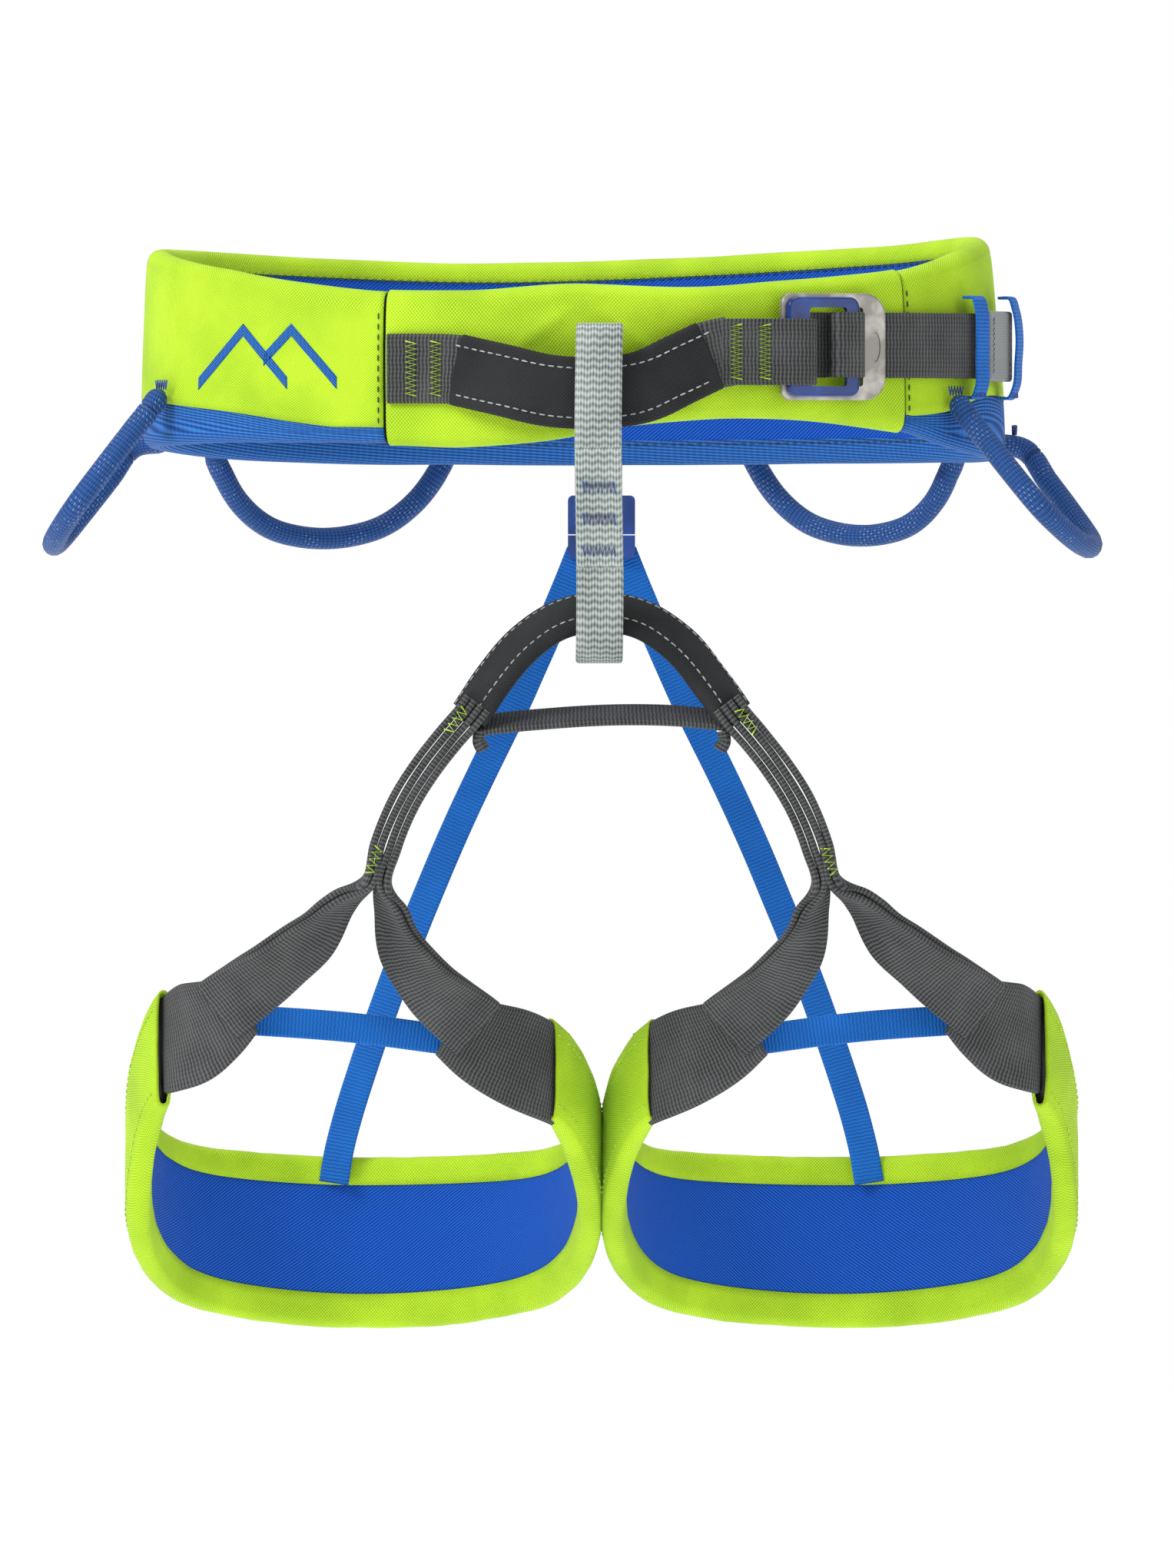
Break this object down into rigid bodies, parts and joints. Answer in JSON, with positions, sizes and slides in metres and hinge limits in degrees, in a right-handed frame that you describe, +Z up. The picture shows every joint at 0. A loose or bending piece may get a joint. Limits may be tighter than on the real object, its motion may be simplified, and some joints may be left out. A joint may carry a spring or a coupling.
{
  "type": "climbing harness",
  "caption": "Sport climbing harness: padded waist belt with buckle, tie-in sleeve, belay loop, gear loops, two padded leg loops on webbing, and elastic risers at the back.",
  "frame": {"origin": "middle of the waist opening, on the plane between the two legs, at the belt's mid height", "axes": "+Z up, front of the harness towards -Y, +X towards the buckle's side (the wearer's left when worn)"},
  "size_m": [0.4064, 0.25, 0.4191],
  "materials": {
    "lime_fabric": "plain-woven ripstop nylon, bright lime",
    "blue_mesh": "open 3-D spacer mesh, blue",
    "blue_trim": "ribbed edge binding, blue",
    "black_webbing": "woven nylon webbing, charcoal",
    "grey_webbing": "woven sling webbing, grey-green",
    "arch_fabric": "abrasion cover cloth, charcoal",
    "blue_elastic": "knitted elastic tape, blue",
    "gear_cord": "braided sheath, dark blue with light flecks",
    "gear_core": "stiff extruded cord, black",
    "tail_grey": "folded and sewn webbing end, light grey",
    "buckle_metal": "grey anodised, satin",
    "buckle_blue": "gloss navy paint",
    "clip_plastic": "moulded acetal, blue",
    "foam": "closed-cell foam, dark",
    "green_thread": "bonded nylon bartack thread, green",
    "blue_thread": "bonded nylon bartack thread, blue"
  },
  "bodies": {
    "belt": {"arch_sleeve": "arch_fabric", "arch_webbing": "black_webbing", "belt_bottom_binding": "blue_trim", "belt_cover": "lime_fabric", "belt_foam_core": "foam", "belt_lining": "blue_mesh", "belt_lower_trim": "blue_trim", "belt_top_binding": "lime_fabric", "clip_plug": "clip_plastic", "clip_socket": "clip_plastic", "cross_strap": "black_webbing", "front_panel": "lime_fabric", "gear_loop_tabs": "blue_thread", "keeper_front": "blue_elastic", "keeper_rear": "blue_elastic", "riser_hanger": "blue_elastic", "riser_left": "blue_elastic", "riser_right": "blue_elastic", "strap_under": "black_webbing", "tie_in_bartacks": "green_thread", "tie_in_sleeve": "black_webbing", "tie_in_webbing": "black_webbing", "webbing_end_tabs": "black_webbing"},
    "belay_loop_body": {"belay_bartacks": "blue_thread", "belay_loop": "grey_webbing"},
    "buckle_frame_body": {"buckle_frame": "buckle_blue", "strap_wrap": "black_webbing"},
    "buckle_plate_body": {"buckle_plate": "buckle_metal", "buckle_webbing_loop": "black_webbing", "stub_bartacks": "green_thread"},
    "clip_prong_left_body": {"clip_prong_left": "clip_plastic"},
    "clip_prong_right_body": {"clip_prong_right": "clip_plastic"},
    "front_left_gear_loop_body": {"front_left_gear_core": "gear_core", "front_left_gear_loop": "gear_cord"},
    "front_right_gear_loop_body": {"front_right_gear_core": "gear_core", "front_right_gear_loop": "gear_cord"},
    "left_leg": {"left_inner_branch": "black_webbing", "left_inner_patch": "black_webbing", "left_leg_cover": "lime_fabric", "left_leg_elastic": "blue_elastic", "left_leg_foam": "foam", "left_leg_lining": "blue_mesh", "left_leg_webbing": "black_webbing", "left_outer_branch": "black_webbing", "left_outer_patch": "black_webbing"},
    "rear_left_gear_loop_body": {"rear_left_gear_core": "gear_core", "rear_left_gear_loop": "gear_cord"},
    "rear_right_gear_loop_body": {"rear_right_gear_core": "gear_core", "rear_right_gear_loop": "gear_cord"},
    "right_leg": {"right_inner_branch": "black_webbing", "right_inner_patch": "black_webbing", "right_leg_cover": "lime_fabric", "right_leg_elastic": "blue_elastic", "right_leg_foam": "foam", "right_leg_lining": "blue_mesh", "right_leg_webbing": "black_webbing", "right_outer_branch": "black_webbing", "right_outer_patch": "black_webbing"},
    "strap_tail_body": {"strap_tail": "black_webbing", "strap_tail_end": "tail_grey"}
  },
  "joints": [
    {"name": "left_leg_lift", "type": "hinge", "parent": "belt", "child": "left_leg", "pos_m": [-0.053, -0.116, -0.1375], "axis": [-1, 0, 0], "range_deg": [-15, 30], "stiffness_Nm_per_rad": 0.3, "springref_deg": -13.62, "deforming": ["riser_left"]},
    {"name": "right_leg_lift", "type": "hinge", "parent": "belt", "child": "right_leg", "pos_m": [0.053, -0.116, -0.1375], "axis": [-1, 0, 0], "range_deg": [-15, 30], "stiffness_Nm_per_rad": 0.3, "springref_deg": -13.62, "deforming": ["riser_right"]},
    {"name": "front_left_gear_loop_flip", "type": "hinge", "parent": "belt", "child": "front_left_gear_loop_body", "pos_m": [-0.176, -0.008, -0.026], "axis": [-0.1138, 0.9671, -0.2276], "range_deg": [-8, 55], "stiffness_Nm_per_rad": 0.05, "springref_deg": 1.32},
    {"name": "front_right_gear_loop_flip", "type": "hinge", "parent": "belt", "child": "front_right_gear_loop_body", "pos_m": [0.1505, -0.0215, -0.02775], "axis": [-0.3144, -0.9301, 0.1899], "range_deg": [-8, 50], "stiffness_Nm_per_rad": 0.05, "springref_deg": 1.51},
    {"name": "rear_left_gear_loop_flip", "type": "hinge", "parent": "belt", "child": "rear_left_gear_loop_body", "pos_m": [-0.104, 0.08825, -0.035], "axis": [0.9117, 0.4103, 0.0203], "range_deg": [-4, 70], "stiffness_Nm_per_rad": 0.05, "springref_deg": 0.32},
    {"name": "rear_right_gear_loop_flip", "type": "hinge", "parent": "belt", "child": "rear_right_gear_loop_body", "pos_m": [0.0965, 0.08325, -0.035], "axis": [0.8804, -0.4737, -0.0223], "range_deg": [-4, 70], "stiffness_Nm_per_rad": 0.05, "springref_deg": 0.32},
    {"name": "buckle_plate_tilt", "type": "hinge", "parent": "belt", "child": "buckle_plate_body", "pos_m": [0.04983, -0.10415, 0.0034], "axis": [0, 0, -1], "range_deg": [0, 12], "stiffness_Nm_per_rad": 0.02},
    {"name": "buckle_frame_tilt", "type": "hinge", "parent": "buckle_plate_body", "child": "buckle_frame_body", "pos_m": [0.0721, -0.10105, 0.0034], "axis": [0, 0, -1], "range_deg": [0, 8], "stiffness_Nm_per_rad": 0.02},
    {"name": "strap_tail_feed", "type": "hinge", "parent": "belt", "child": "strap_tail_body", "pos_m": [0.0636, 0.0073, 0.004], "axis": [0, 0, 1], "range_deg": [-5, 5], "stiffness_Nm_per_rad": 0.05},
    {"name": "belay_loop_shift", "type": "slide", "parent": "belt", "child": "belay_loop_body", "axis": [1, 0, 0], "range_m": [-0.006, 0.006], "stiffness_N_per_m": 5},
    {"name": "clip_prong_left_squeeze", "type": "hinge", "parent": "belt", "child": "clip_prong_left_body", "pos_m": [-0.0104, 0.101, -0.0665], "axis": [0, 1, 0], "range_deg": [0, 6], "stiffness_Nm_per_rad": 0.02},
    {"name": "clip_prong_right_squeeze", "type": "hinge", "parent": "belt", "child": "clip_prong_right_body", "pos_m": [0.0104, 0.101, -0.0665], "axis": [0, -1, 0], "range_deg": [0, 6], "stiffness_Nm_per_rad": 0.02}
  ],
  "couplings": [
    {"joint": "clip_prong_right_squeeze", "follows": "clip_prong_left_squeeze", "ratio": 1}
  ]
}
